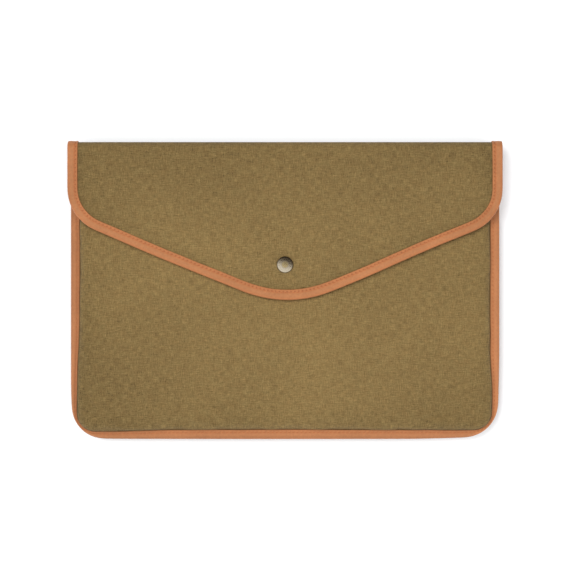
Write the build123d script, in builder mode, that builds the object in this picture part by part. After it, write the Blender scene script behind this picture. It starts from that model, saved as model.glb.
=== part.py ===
"""Padded canvas laptop sleeve with an envelope flap, leather-bound edges and one press snap.

The sleeve lies on its back: +X to the right across the mouth, +Y towards the fold, +Z out of the front.
The origin is on the ground under the middle of the sleeve. Every length is in millimetres.
"""

import math
import os

from build123d import *

# Overall sizes
body_width = 342.0  # over the binding
body_height = 238.0  # bottom binding to the outside of the fold
flap_overhang = 1.5  # flap beyond the body at each side
flap_drop = 126.6  # outside of the fold to the tip

# Cloth, foam and leather
canvas = 0.8
foam = 2.0
lining = 0.4
pressed_foam = 0.6  # foam squeezed flat in the side seam
interlining = 0.4
leather = 0.9

# Pocket and padded panels
pocket_depth = 13.0
roll_flat = 0.4  # upright strip between the panel's roll and the middle of the seam
panel_side_top = 7.3  # binding seen beside the panel at the mouth
panel_side_bottom = 5.1  # the same at the bottom corners
panel_bottom = 7.4  # binding seen below the panel
panel_corner = 14.5
outline_corner = 26.0
mouth_setback = 13.0  # fold to the front panel's free edge

# Bindings and thread
binding_round = 1.6
mouth_binding_width = 7.0
flap_binding_width = 8.2
stitch_inset = 2.3  # from a binding's inner edge
seam_corner = 16.0  # corner of the body's seam line
thread_width = 0.5
thread_height = 0.2

# Flap outline
flap_slope = 22.9  # degrees, of the two long edges
shoulder_radius = 41.0
tip_radius = 92.0
flap_gap = 0.5  # under the flap's binding

# Folds
fold_radius = 5.0  # outside of the canvas
fold_clearance = 1.0  # back panel's end to the lower fold
spine_clearance = 0.9  # spine's end to the upper fold
flat_clearance = 0.1  # between the snap's cap and the ground when the flap is opened flat

# Snap
snap_rise = 28.3  # flap tip to the snap's centre
snap_height = 2.8  # between the two cloths when closed
cap_radius = 6.55
cap_rise = 2.5
cap_sheet = 0.5
cap_post_radius = 1.8
cap_post_bore = 1.2
cap_flare = 0.5
socket_radius = 5.8
socket_bore = 2.5
socket_sheet = 0.3
socket_foot = 0.3  # stud flange to socket rim
spring_wire = 0.5
spring_play = 0.05
spring_opening = 40.0  # degrees left open in the ring
stud_flange_radius = 5.2
stud_flange = 0.3
stud_neck = 2.0
stud_head = 2.2
stud_bore = 1.1
eyelet_radius = 4.8
eyelet_sheet = 0.3
eyelet_bore = 0.7
cap_backing_radius = 9.0
stud_backing_radius = 6.5
dimple_floor_radius = 7.0
dimple_rim_radius = 12.0

# Heights of the layers
panel = canvas + foam + lining
body_thickness = 2 * panel + pocket_depth
mid = body_thickness / 2
roll_radius = mid - roll_flat
flap_width = body_width + 2 * flap_overhang
seam_half = lining + pressed_foam + canvas
seam_low = mid - seam_half - leather
seam_high = mid + seam_half + leather
flap_stack = canvas + interlining + lining
flap_lining_low = body_thickness + flap_gap + leather
flap_top = flap_lining_low + flap_stack

# Places along Y
y_bottom = -body_height / 2
y_top = body_height / 2
fold_y = y_top - leather  # outside of the canvas on the spine
fold_start = fold_y - fold_radius
back_end = fold_start - fold_clearance
mouth_y = y_top - mouth_setback
tip_y = y_top - flap_drop
snap_y = tip_y + snap_rise
beyond = y_top + 60.0  # past everything, for shapes that are cut to length

# Hinge lines of the two folds, on the bisector of each fold, where the cloth keeps its length
fold_arc = fold_radius * math.pi / 2
hinge_inset = (2 * fold_radius - fold_arc) / 2
upper_hinge_y = fold_y - hinge_inset
upper_hinge_z = flap_top - hinge_inset
flat_rise = cap_rise + flat_clearance  # the spine and flap lie this high when opened flat
flat_reach = math.sqrt(fold_arc**2 - flat_rise**2)
lower_hinge_y = (fold_y + flat_rise + fold_start + flat_reach - fold_radius) / 2
lower_hinge_z = fold_y + flat_rise - lower_hinge_y
spine_end_z = seam_high + 0.5  # the spine is short at its ends, where the side seams rise
spine_top = flap_top - fold_radius - spine_clearance

# Heights at the snap
stud_seat = flap_lining_low - snap_height
dimple_depth = body_thickness - stud_seat
socket_low = stud_seat + stud_flange + socket_foot
spring_z = socket_low + 0.5
stud_top = spring_z + spring_wire / 2 + 0.6


def front_of(y):
    """Plane across the sleeve at y, facing the bottom edge."""
    return Plane(origin=(0, y, 0), z_dir=(0, -1, 0))


def panel_outline(inset):
    """Edge of the padded panels, beside the binding, moved in by inset. It runs on past the fold."""
    half_top = body_width / 2 - panel_side_top
    half_bottom = body_width / 2 - panel_side_bottom
    low = y_bottom + panel_bottom
    with BuildSketch() as outline:
        with BuildLine():
            Polyline(
                (-half_bottom, low), (half_bottom, low), (half_top, beyond), (-half_top, beyond), close=True
            )
        make_face()
        fillet(outline.vertices().group_by(Axis.Y)[0], panel_corner)
        if inset:
            offset(amount=-inset, kind=Kind.INTERSECTION, mode=Mode.REPLACE)
    return outline.sketch


def seam_outline(inset):
    """Outside of the leather round the body, moved in by inset. It runs on past the fold."""
    half = body_width / 2
    with BuildSketch() as outline:
        with Locations((0, (y_bottom + beyond) / 2)):
            Rectangle(2 * half, beyond - y_bottom)
        fillet(outline.vertices().group_by(Axis.Y)[0], outline_corner)
        if inset:
            offset(amount=-inset, kind=Kind.INTERSECTION, mode=Mode.REPLACE)
    return outline.sketch


def seam_line(shift):
    """Line of the stitches through the body's binding, moved in by shift."""
    half_top = body_width / 2 - panel_side_top + stitch_inset
    half_bottom = body_width / 2 - panel_side_bottom + stitch_inset
    low = y_bottom + panel_bottom - stitch_inset
    with BuildSketch() as outline:
        with BuildLine():
            Polyline(
                (-half_bottom, low), (half_bottom, low), (half_top, beyond), (-half_top, beyond), close=True
            )
        make_face()
        fillet(outline.vertices().group_by(Axis.Y)[0], seam_corner)
        offset(amount=-shift, kind=Kind.INTERSECTION, mode=Mode.REPLACE)
    return outline.sketch


def flap_outline(inset):
    """Edge of the flap seen from the front, moved in by inset. It runs on past the fold."""
    half = flap_width / 2
    slope = math.radians(flap_slope)
    tip_corner_y = tip_y - tip_radius * (1 / math.cos(slope) - 1)
    shoulder_y = tip_corner_y + half * math.tan(slope)
    with BuildSketch() as outline:
        with BuildLine():
            Polyline(
                (0, tip_corner_y), (half, shoulder_y), (half, beyond), (-half, beyond), (-half, shoulder_y),
                close=True,
            )
        make_face()
        fillet(outline.vertices().group_by(Axis.Y)[0], tip_radius)
        fillet(outline.vertices().filter_by(lambda v: abs(v.Y - shoulder_y) < 0.01), shoulder_radius)
        if inset:
            offset(amount=-inset, kind=Kind.INTERSECTION, mode=Mode.REPLACE)
    return outline.sketch


def body_form(inset):
    """Pillow shape of the stuffed body: the outside of the canvas, moved in by inset."""
    outline = panel_outline(inset)
    with BuildPart() as form:
        with BuildSketch(Plane.XY.offset(inset)):
            add(outline)
        extrude(amount=body_thickness - 2 * inset)
        flat_faces = form.faces().sort_by(Axis.Z)
        fillet(flat_faces[0].edges() + flat_faces[-1].edges(), roll_radius - inset)
    return form.part


def body_layer(depth, thickness, seam_depth, seam_thickness, side, end_y):
    """One layer of a padded panel, with the flange that runs out into the side seam.

    depth is how far the layer lies inside the canvas's outer face, and seam_depth how far its flange lies
    from the middle of the seam. side is 1 for the front and -1 for the back. The layer stops at end_y.
    """
    outer = body_form(depth)
    inner = body_form(depth + thickness)
    flange_outline = seam_outline(leather)
    inner_outline = panel_outline(depth + thickness)
    flange_start = mid + side * seam_depth
    with BuildPart() as layer:
        add(outer)
        add(inner, mode=Mode.SUBTRACT)
        split(bisect_by=Plane(origin=(0, 0, flange_start), z_dir=(0, 0, side)))
        with BuildSketch(Plane.XY.offset(flange_start)):
            add(flange_outline)
            add(inner_outline, mode=Mode.SUBTRACT)
        extrude(amount=side * seam_thickness)
        split(bisect_by=front_of(end_y))
    return layer.part


def folded_section(plane_x, depth, thickness, corner_y, corner_z, toward_flap):
    """Section of one layer round a fold, in a plane across the sleeve.

    The layer lies depth inside the canvas's outer face. The round is centred on the fold's own centre, and
    the straight run goes down the flap, or up the spine if toward_flap is false.
    """
    outside = fold_radius - depth
    inside = outside - thickness
    with BuildSketch(Plane.YZ.offset(plane_x)) as section:
        with Locations((corner_y, corner_z)):
            Circle(outside)
            Circle(inside, mode=Mode.SUBTRACT)
        quarter_z = corner_z + (fold_radius if toward_flap else -fold_radius)
        with Locations((corner_y + fold_radius, quarter_z)):
            Rectangle(2 * fold_radius, 2 * fold_radius, mode=Mode.INTERSECT)
        if toward_flap:
            with Locations((corner_y, corner_z + inside)):
                Rectangle(corner_y + beyond, thickness, align=(Align.MAX, Align.MIN))
        else:
            with Locations((corner_y + inside, corner_z)):
                Rectangle(thickness, spine_top - corner_z, align=(Align.MIN, Align.MIN))
    return section.sketch


def flap_layer(depth, thickness, inset):
    """One layer of the flap over its whole outline, with its half of the upper fold."""
    section = folded_section(-flap_width, depth, thickness, fold_start, flap_top - fold_radius, True)
    outline = flap_outline(inset)
    with BuildPart() as layer:
        add(section)
        extrude(amount=2 * flap_width, dir=(1, 0, 0))
        with BuildSketch():
            add(outline)
        extrude(amount=2 * flap_top, mode=Mode.INTERSECT)
    return layer.part


def spine_layer(depth, thickness, half_width):
    """One layer of the spine, with its half of the lower fold, cut short over the side seams."""
    section = folded_section(-half_width, depth, thickness, fold_start, fold_radius, False)
    short_end = flap_width / 2 - body_width / 2 + panel_side_top + roll_radius
    with BuildPart() as layer:
        add(section)
        extrude(amount=2 * half_width, dir=(1, 0, 0))
        for side in (-1, 1):
            with Locations((side * flap_width / 2, fold_y, spine_end_z)):
                Box(
                    2 * short_end, 4 * fold_radius, 2 * spine_end_z,
                    align=(Align.CENTER, Align.CENTER, Align.MAX), mode=Mode.SUBTRACT,
                )
    return layer.part


def turned(points, y=snap_y):
    """Solid turned about the snap's axis from a closed outline of (radius, height) points."""
    with BuildPart() as solid:
        with BuildSketch(Plane.XZ.offset(-y)):
            with BuildLine():
                Polyline(*points, close=True)
            make_face()
        revolve(axis=Axis((0, y, 0), (0, 0, 1)))
    return solid.part


def dome_arc(radius, low, high):
    """Arc of a ball from its top on the axis, at high, out to radius at low."""
    rise = high - low
    ball = (radius**2 + rise**2) / (2 * rise)
    half_angle = math.asin(radius / ball) / 2
    middle = (ball * math.sin(half_angle), high - ball + ball * math.cos(half_angle))
    return ThreePointArc((0, high), middle, (radius, low))


def snap_hole(radius, low, high):
    """Round bar on the snap's axis, for cutting its hole through a layer."""
    with BuildPart() as bar:
        with Locations((0, snap_y, low)):
            Cylinder(radius, high - low, align=(Align.CENTER, Align.CENTER, Align.MIN))
    return bar.part


pieces = []


def finish(builder, name):
    """Labels a finished piece and keeps it for export."""
    builder.part.label = name
    pieces.append(builder.part)


# ---- Front panel: canvas, foam and lining, pressed down into a dimple under the stud ----

dimple_sheet = turned(
    [
        (eyelet_bore, stud_seat), (dimple_floor_radius, stud_seat), (dimple_rim_radius, body_thickness),
        (dimple_rim_radius, body_thickness - canvas), (dimple_floor_radius, stud_seat - canvas),
        (eyelet_bore, stud_seat - canvas),
    ]
)
dimple_room = turned(
    [
        (0, stud_seat - canvas), (dimple_floor_radius, stud_seat - canvas),
        (dimple_rim_radius, body_thickness - canvas), (dimple_rim_radius, body_thickness),
        (0, body_thickness),
    ]
)
canvas_patch = snap_hole(dimple_rim_radius, body_thickness - canvas, body_thickness)
post_hole = snap_hole(stud_bore, mid, flap_top)
backing_recess = snap_hole(stud_backing_radius, body_thickness - canvas - foam, body_thickness)

front_canvas_layer = body_layer(0, canvas, lining + pressed_foam, canvas, 1, mouth_y)
with BuildPart() as front_canvas:
    add(front_canvas_layer)
    add(canvas_patch, mode=Mode.SUBTRACT)
    add(dimple_sheet)
    add(post_hole, mode=Mode.SUBTRACT)
finish(front_canvas, "front_canvas")

front_foam_layer = body_layer(canvas, foam, lining, pressed_foam, 1, mouth_y)
with BuildPart() as front_foam:
    add(front_foam_layer)
    add(dimple_room, mode=Mode.SUBTRACT)
    add(backing_recess, mode=Mode.SUBTRACT)
finish(front_foam, "front_foam")

front_lining_layer = body_layer(canvas + foam, lining, 0, lining, 1, mouth_y)
with BuildPart() as front_lining:
    add(front_lining_layer)
    add(post_hole, mode=Mode.SUBTRACT)
finish(front_lining, "front_lining")

# ---- Back panel ----

back_canvas_layer = body_layer(0, canvas, lining + pressed_foam, canvas, -1, back_end)
with BuildPart() as back_canvas:
    add(back_canvas_layer)
finish(back_canvas, "back_canvas")

back_foam_layer = body_layer(canvas, foam, lining, pressed_foam, -1, back_end)
with BuildPart() as back_foam:
    add(back_foam_layer)
finish(back_foam, "back_foam")

back_lining_layer = body_layer(canvas + foam, lining, 0, lining, -1, back_end)
with BuildPart() as back_lining:
    add(back_lining_layer)
finish(back_lining, "back_lining")

# ---- Leather round the sides and bottom, and its two rows of thread ----

leather_outline = seam_outline(0)
leather_inside = panel_outline(0)
leather_slot = seam_outline(leather)
with BuildPart() as body_binding:
    with BuildSketch(Plane.XY.offset(seam_low)):
        add(leather_outline)
    extrude(amount=seam_high - seam_low)
    leather_faces = body_binding.faces().sort_by(Axis.Z)
    fillet(leather_faces[0].edges() + leather_faces[-1].edges(), binding_round)
    with BuildSketch(Plane.XY.offset(seam_low)):
        add(leather_inside)
    extrude(amount=seam_high - seam_low, mode=Mode.SUBTRACT)
    with BuildSketch(Plane.XY.offset(seam_low + leather)):
        add(leather_slot)
    extrude(amount=2 * seam_half, mode=Mode.SUBTRACT)
    split(bisect_by=front_of(back_end))
finish(body_binding, "body_binding")

thread_outside = seam_line(-thread_width / 2)
thread_inside = seam_line(thread_width / 2)
with BuildPart() as body_thread:
    for height, way in ((seam_high, 1), (seam_low, -1)):
        with BuildSketch(Plane.XY.offset(height)):
            add(thread_outside)
            add(thread_inside, mode=Mode.SUBTRACT)
        extrude(amount=way * thread_height)
    split(bisect_by=front_of(back_end))
finish(body_thread, "body_thread")

# ---- Leather over the front panel's free edge ----

mouth_outside = body_form(-leather)
mouth_inside = body_form(panel + leather)
panel_outside = body_form(0)
panel_inside = body_form(panel)
with BuildPart() as mouth_slot:
    add(panel_outside)
    add(panel_inside, mode=Mode.SUBTRACT)
    split(bisect_by=front_of(mouth_y))
with BuildPart() as mouth_binding:
    add(mouth_outside)
    add(mouth_inside, mode=Mode.SUBTRACT)
    split(bisect_by=front_of(mouth_y + leather))
    split(bisect_by=Plane(origin=(0, mouth_y + leather - mouth_binding_width, 0), z_dir=(0, 1, 0)))
    split(bisect_by=Plane(origin=(0, 0, seam_high), z_dir=(0, 0, 1)))
    add(mouth_slot.part, mode=Mode.SUBTRACT)
finish(mouth_binding, "mouth_binding")

mouth_thread_y = mouth_y + leather - mouth_binding_width + stitch_inset
mouth_thread_length = body_width - 2 * (panel_side_top + roll_radius)
with BuildPart() as mouth_thread:
    for height, align in (
        (body_thickness + leather, Align.MIN),
        (body_thickness - panel - leather, Align.MAX),
    ):
        with Locations((0, mouth_thread_y, height)):
            Box(
                mouth_thread_length, thread_width, thread_height,
                align=(Align.CENTER, Align.CENTER, align),
            )
finish(mouth_thread, "mouth_thread")

# ---- Spine, between the two folds ----

slot_half = flap_width / 2 - leather
spine_canvas_layer = spine_layer(0, canvas, slot_half)
with BuildPart() as spine_canvas:
    add(spine_canvas_layer)
finish(spine_canvas, "spine_canvas")

spine_interlining_layer = spine_layer(canvas, interlining, slot_half)
with BuildPart() as spine_interlining:
    add(spine_interlining_layer)
finish(spine_interlining, "spine_interlining")

spine_lining_layer = spine_layer(canvas + interlining, lining, slot_half)
with BuildPart() as spine_lining:
    add(spine_lining_layer)
finish(spine_lining, "spine_lining")

with BuildPart() as spine_binding:
    for side in (-1, 1):
        with Locations((side * flap_width / 2, y_top, spine_end_z)):
            Box(
                2 * flap_binding_width, flap_stack + 2 * leather, spine_top - spine_end_z,
                align=(Align.CENTER, Align.MAX, Align.MIN),
            )
    with Locations((0, fold_y, spine_end_z)):
        Box(
            2 * slot_half, flap_stack, spine_top - spine_end_z,
            align=(Align.CENTER, Align.MAX, Align.MIN), mode=Mode.SUBTRACT,
        )
    for side in (-1, 1):
        with Locations((side * flap_width, y_top, spine_end_z)):
            Box(
                flap_width, 4 * fold_radius, 2 * flap_top,
                align=(Align.CENTER, Align.CENTER, Align.CENTER), mode=Mode.SUBTRACT,
            )
finish(spine_binding, "spine_binding")

# ---- Flap: canvas, interlining, lining, leather and thread ----

cap_hole = snap_hole(cap_post_radius, flap_lining_low, flap_top)
cap_backing_hole = snap_hole(cap_backing_radius, flap_lining_low, flap_top)

flap_canvas_layer = flap_layer(0, canvas, leather)
with BuildPart() as flap_canvas:
    add(flap_canvas_layer)
    add(cap_hole, mode=Mode.SUBTRACT)
finish(flap_canvas, "flap_canvas")

flap_interlining_layer = flap_layer(canvas, interlining, leather)
with BuildPart() as flap_interlining:
    add(flap_interlining_layer)
    add(cap_backing_hole, mode=Mode.SUBTRACT)
finish(flap_interlining, "flap_interlining")

flap_lining_layer = flap_layer(canvas + interlining, lining, leather)
with BuildPart() as flap_lining:
    add(flap_lining_layer)
    add(cap_hole, mode=Mode.SUBTRACT)
finish(flap_lining, "flap_lining")

flap_leather_block = flap_layer(-leather, flap_stack + 2 * leather, 0)
flap_leather_room = flap_layer(0, flap_stack, leather)
flap_leather_inside = flap_outline(flap_binding_width)
with BuildPart() as flap_binding:
    add(flap_leather_block)
    add(flap_leather_room, mode=Mode.SUBTRACT)
    with BuildSketch():
        add(flap_leather_inside)
    extrude(amount=2 * flap_top, mode=Mode.SUBTRACT)
finish(flap_binding, "flap_binding")

stitch_depth = flap_binding_width - stitch_inset
flap_thread_outside = flap_outline(stitch_depth - thread_width / 2)
flap_thread_inside = flap_outline(stitch_depth + thread_width / 2)
with BuildPart() as flap_thread:
    for height, way in ((flap_top + leather, 1), (flap_lining_low - leather, -1)):
        with BuildSketch(Plane.XY.offset(height)):
            add(flap_thread_outside)
            add(flap_thread_inside, mode=Mode.SUBTRACT)
        extrude(amount=way * thread_height)
    split(bisect_by=front_of(fold_start))
finish(flap_thread, "flap_thread")

# ---- Snap: cap and socket on the flap, stud and eyelet on the front panel ----

post_end = flap_lining_low - socket_sheet
with BuildPart() as snap_cap:
    with BuildSketch(Plane.XZ.offset(-snap_y)):
        with BuildLine():
            dome = dome_arc(cap_radius, flap_top + cap_sheet, flap_top + cap_rise)
            Polyline(
                dome @ 1, (cap_radius, flap_top), (cap_post_radius, flap_top), (cap_post_radius, post_end),
                (cap_post_radius + cap_flare, post_end),
                (cap_post_radius + cap_flare, post_end - cap_sheet / 2),
                (cap_post_bore, post_end - cap_sheet / 2), (cap_post_bore, flap_top + cap_sheet),
                (cap_radius - cap_sheet, flap_top + cap_sheet),
            )
            inside = dome_arc(cap_radius - cap_sheet, flap_top + cap_sheet, flap_top + cap_rise - cap_sheet)
            Line(inside @ 0, dome @ 0)
        make_face()
    revolve(axis=Axis((0, snap_y, 0), (0, 0, 1)))
finish(snap_cap, "snap_cap")

groove_radius = stud_neck + spring_play + spring_wire + 0.35
groove_half = spring_wire / 2 + 0.1
socket_body = turned(
    [
        (socket_bore, socket_low), (socket_radius - socket_sheet, socket_low),
        (socket_radius, socket_low + socket_sheet), (socket_radius, flap_lining_low - 2 * socket_sheet),
        (socket_radius - socket_sheet, flap_lining_low - socket_sheet),
        (socket_radius - socket_sheet, flap_lining_low), (cap_post_radius, flap_lining_low),
        (cap_post_radius, flap_lining_low - socket_sheet), (socket_bore, flap_lining_low - socket_sheet),
        (socket_bore, spring_z + groove_half), (groove_radius, spring_z + groove_half),
        (groove_radius, spring_z - groove_half), (socket_bore, spring_z - groove_half),
    ]
)
with BuildPart() as snap_socket:
    add(socket_body)
finish(snap_socket, "snap_socket")

spring_radius = stud_neck + spring_play + spring_wire / 2
with BuildPart() as snap_spring:
    with BuildSketch(Plane.XZ.offset(-snap_y)):
        with Locations((spring_radius, spring_z)):
            Circle(spring_wire / 2)
    revolve(axis=Axis((0, snap_y, 0), (0, 0, 1)), revolution_arc=360 - spring_opening)
finish(snap_spring, "snap_spring")

with BuildPart() as cap_backing:
    with Locations((0, snap_y, flap_lining_low + lining)):
        Cylinder(cap_backing_radius, interlining, align=(Align.CENTER, Align.CENTER, Align.MIN))
        Cylinder(
            cap_post_radius, interlining, align=(Align.CENTER, Align.CENTER, Align.MIN), mode=Mode.SUBTRACT
        )
finish(cap_backing, "cap_backing")

stud_waist = stud_seat + stud_flange
stud_body = turned(
    [
        (stud_bore, stud_seat), (stud_flange_radius, stud_seat), (stud_flange_radius, stud_waist - 0.1),
        (stud_flange_radius - 0.3, stud_waist), (stud_neck, stud_waist),
        (stud_neck, spring_z + spring_wire / 2), (stud_head, spring_z + spring_wire / 2 + 0.15),
        (stud_head, stud_top - 0.25), (stud_head - 0.4, stud_top),
        (stud_bore, stud_top),
    ]
)
with BuildPart() as snap_stud:
    add(stud_body)
finish(snap_stud, "snap_stud")

eyelet_seat = body_thickness - panel
eyelet_body = turned(
    [
        (eyelet_bore, eyelet_seat - eyelet_sheet), (eyelet_radius, eyelet_seat - eyelet_sheet),
        (eyelet_radius, eyelet_seat), (stud_bore, eyelet_seat), (stud_bore, stud_top),
        (stud_bore + 0.4, stud_top), (stud_bore + 0.4, stud_top + 0.12), (eyelet_bore, stud_top + 0.12),
    ]
)
with BuildPart() as stud_eyelet:
    add(eyelet_body)
finish(stud_eyelet, "stud_eyelet")

with BuildPart() as stud_backing:
    with Locations((0, snap_y, eyelet_seat + lining)):
        Cylinder(
            stud_backing_radius, stud_seat - canvas - eyelet_seat - lining,
            align=(Align.CENTER, Align.CENTER, Align.MIN),
        )
        Cylinder(
            stud_bore, stud_seat - canvas - eyelet_seat - lining,
            align=(Align.CENTER, Align.CENTER, Align.MIN), mode=Mode.SUBTRACT,
        )
finish(stud_backing, "stud_backing")

# ---- Export ----

os.makedirs("parts", exist_ok=True)
for piece in pieces:
    export_step(piece, f"parts/{piece.label}.step")

print("pocket room", body_width - 2 * (panel_side_top + panel), "x", mouth_y - y_bottom, "x", pocket_depth)
print("lower hinge y, z", round(lower_hinge_y, 3), round(lower_hinge_z, 3))
print("upper hinge y, z", round(upper_hinge_y, 3), round(upper_hinge_z, 3))
print("body thickness", body_thickness, "flap top", flap_top, "seam", seam_low, seam_high)
print("stud seat", stud_seat, "dimple", dimple_depth, "socket low", socket_low, "stud top", stud_top)
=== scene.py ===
"""Looks of a padded canvas laptop sleeve with a leather-bound envelope flap and one press snap.

The sleeve lies on its back: +X across, +Y towards the fold, +Z up. Lengths are in metres.
"""

import math

import bpy
import numpy as np
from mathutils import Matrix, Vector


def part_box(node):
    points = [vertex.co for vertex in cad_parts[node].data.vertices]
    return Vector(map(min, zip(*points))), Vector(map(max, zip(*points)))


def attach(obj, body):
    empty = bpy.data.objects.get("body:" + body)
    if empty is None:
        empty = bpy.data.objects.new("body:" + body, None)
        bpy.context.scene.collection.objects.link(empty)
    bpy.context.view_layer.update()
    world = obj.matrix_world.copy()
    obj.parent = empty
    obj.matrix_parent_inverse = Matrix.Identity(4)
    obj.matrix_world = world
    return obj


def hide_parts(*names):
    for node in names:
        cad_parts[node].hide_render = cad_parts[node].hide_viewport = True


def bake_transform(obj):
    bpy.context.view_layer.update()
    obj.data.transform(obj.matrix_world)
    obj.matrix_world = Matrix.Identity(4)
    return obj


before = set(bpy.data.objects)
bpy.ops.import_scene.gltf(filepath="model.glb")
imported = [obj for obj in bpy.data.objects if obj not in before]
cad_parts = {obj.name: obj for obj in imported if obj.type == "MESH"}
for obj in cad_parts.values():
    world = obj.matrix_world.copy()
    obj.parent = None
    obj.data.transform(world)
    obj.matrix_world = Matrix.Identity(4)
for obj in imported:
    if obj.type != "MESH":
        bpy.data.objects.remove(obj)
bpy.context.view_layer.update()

MM = 0.001

# ---- Sizes taken from the CAD pieces ----

body_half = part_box("body_binding")[1].x
bottom_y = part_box("body_binding")[0].y
seam_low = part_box("body_binding")[0].z
seam_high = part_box("body_binding")[1].z
seam_mid = (seam_low + seam_high) / 2
body_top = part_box("front_canvas")[1].z
mouth_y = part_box("front_canvas")[1].y
flap_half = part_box("flap_binding")[1].x
tip_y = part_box("flap_binding")[0].y
flap_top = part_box("flap_canvas")[1].z
fold_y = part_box("flap_canvas")[1].y
lining_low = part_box("flap_lining")[0].z
leather_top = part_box("flap_binding")[1].z
leather = leather_top - flap_top
snap_y = sum(c.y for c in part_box("snap_cap")) / 2
cap_radius = (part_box("snap_cap")[1].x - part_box("snap_cap")[0].x) / 2
cap_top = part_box("snap_cap")[1].z

fold_radius = 5.0 * MM
fold_start = fold_y - fold_radius
spine_mid_z = flap_top / 2
panel = 3.2 * MM  # canvas, foam and lining
flap_thick = 1.6 * MM  # canvas, interlining and lining
canvas = 0.8 * MM
lining = 0.4 * MM
canvas_lift = 1.7 * MM  # of the canvas over the middle of the seam, where it meets the leather
lining_lift = 0.3 * MM  # the same of the lining
front_roll = 9.5 * MM  # from the panel's edge in to its full height
back_roll = 13 * MM
lining_roll = 9 * MM
panel_corner = 14.5 * MM
canvas_margin = 2.4 * MM  # leather's outer edge to the cut edge of the cloth inside it
lining_margin = 2.6 * MM
edge_top = 7.4 * MM  # leather seen beside the front panel at the mouth
edge_bottom = 5.2 * MM  # the same near the bottom corners
edge_low = 7.4 * MM  # leather seen below the front panel
flap_edge = 8.2 * MM  # leather round the flap
mouth_edge = 7 * MM  # leather over the mouth
pitch = 3.3 * MM  # of the stitches
row_in = 2.4 * MM  # leather's inner edge to the flap's row of stitches
body_row_in = 2.15 * MM  # the same on the body and at the mouth
thread_dip = 0.27 * MM  # stitches' middle below the leather's face
flap_slope = 22.9  # degrees
tip_radius = 92 * MM
far_off = 1.0  # distance to the flap's edge, for its painted shadow and rubbed line, on cloth that no edge rubs
cut_in = 2.6 * MM  # leather's outer edge to the flap's cut edge


# ---- Numbers: noise, paths and meshes ----


def waves(x, y, size, seed, count=14):
    """Soft undulation: a sum of count sine waves of random direction and phase, about size long."""
    pick = np.random.default_rng(seed)
    angle = pick.uniform(0, math.tau, count)
    length = size * pick.uniform(0.7, 1.6, count)
    phase = pick.uniform(0, math.tau, count)
    total = np.zeros(np.broadcast(x, y).shape)
    for a, w, p in zip(angle, length, phase):
        total += np.sin((x * math.cos(a) + y * math.sin(a)) * math.tau / w + p)
    return total / math.sqrt(count)


def smooth(t):
    """Eased step: 3t^2 - 2t^3 of t held between 0 and 1."""
    t = np.clip(t, 0, 1)
    return t * t * (3 - 2 * t)


def rounded_path(corners, radii, step=0.6 * MM, blur=0.0):
    """Open path through corners, each rounded to an arc that touches both its sides, in even steps.

    blur softens the joins of arcs and straights: each point is averaged with its neighbours, weighted by a
    bell curve of that length.
    """
    corners = np.array(corners, float)
    pieces = [corners[:1]]
    for before_it, corner, after_it, radius in zip(corners[:-2], corners[1:-1], corners[2:], radii):
        one = (before_it - corner) / np.linalg.norm(before_it - corner)
        two = (after_it - corner) / np.linalg.norm(after_it - corner)
        half = math.acos(np.clip(one @ two, -1, 1)) / 2
        middle = corner + (one + two) / np.linalg.norm(one + two) * radius / math.sin(half)
        first = corner + one * radius / math.tan(half) - middle
        last = corner + two * radius / math.tan(half) - middle
        turn = math.pi - 2 * half
        t = np.linspace(0, 1, 60)[:, None]
        pieces.append(middle + (np.sin((1 - t) * turn) * first + np.sin(t * turn) * last) / math.sin(turn))
    pieces.append(corners[-1:])
    path = even_steps(np.concatenate(pieces), step)
    if blur:
        reach = int(3 * blur / step)
        bell = np.exp(-0.5 * (np.arange(-reach, reach + 1) * step / blur) ** 2)
        bell /= bell.sum()
        for k in range(2):
            start = path[0, k] + (path[1, k] - path[0, k]) * np.arange(-reach, 0)
            end = path[-1, k] + (path[-1, k] - path[-2, k]) * np.arange(1, reach + 1)
            path[:, k] = np.convolve(np.concatenate([start, path[:, k], end]), bell, "valid")
    return path


def even_steps(path, step):
    """The same path with its points about step apart."""
    gap = np.linalg.norm(np.diff(path, axis=0), axis=1)
    along = np.concatenate([[0], np.cumsum(gap)])
    at = np.linspace(0, along[-1], max(2, int(round(along[-1] / step)) + 1))
    return np.stack([np.interp(at, along, path[:, k]) for k in range(path.shape[1])], axis=1)


def along_path(path):
    """Distance along the path, its direction, and the direction to its left."""
    gap = np.linalg.norm(np.diff(path, axis=0), axis=1)
    along = np.concatenate([[0], np.cumsum(gap)])
    way = np.gradient(path, axis=0)
    way /= np.linalg.norm(way, axis=1)[:, None]
    return along, way, np.stack([-way[:, 1], way[:, 0]], axis=1)


def new_piece(name, points, faces, uv=None, marks=None):
    """Mesh object from points and faces, with an optional flat map in metres named cloth.

    marks are named values, one for each point, that the materials read.
    """
    mesh = bpy.data.meshes.new(name)
    mesh.from_pydata(points.reshape(-1, 3).tolist(), [], faces)
    for label, values in (marks or {}).items():
        mark = mesh.attributes.new(label, "FLOAT", "POINT")
        mark.data.foreach_set("value", values.astype(np.float32).ravel())
    if uv is not None:
        index = np.zeros(len(mesh.loops), np.int32)
        mesh.loops.foreach_get("vertex_index", index)
        layer = mesh.uv_layers.new(name="cloth")
        layer.data.foreach_set("uv", uv.reshape(-1, 2)[index].astype(np.float32).ravel())
    mesh.shade_smooth()
    mesh.update()
    piece = bpy.data.objects.new(name, mesh)
    bpy.context.scene.collection.objects.link(piece)
    return piece


def grid_faces(rows, columns, wrap=False):
    """Four-sided faces of a grid of points; wrap joins the last column to the first."""
    i = np.arange(rows - 1)[:, None]
    j = np.arange(columns if wrap else columns - 1)[None, :]
    k = (j + 1) % columns
    a, b, c, d = i * columns + j, i * columns + k, (i + 1) * columns + k, (i + 1) * columns + j
    return np.stack([a, b, c, d], axis=-1).reshape(-1, 4)


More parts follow.
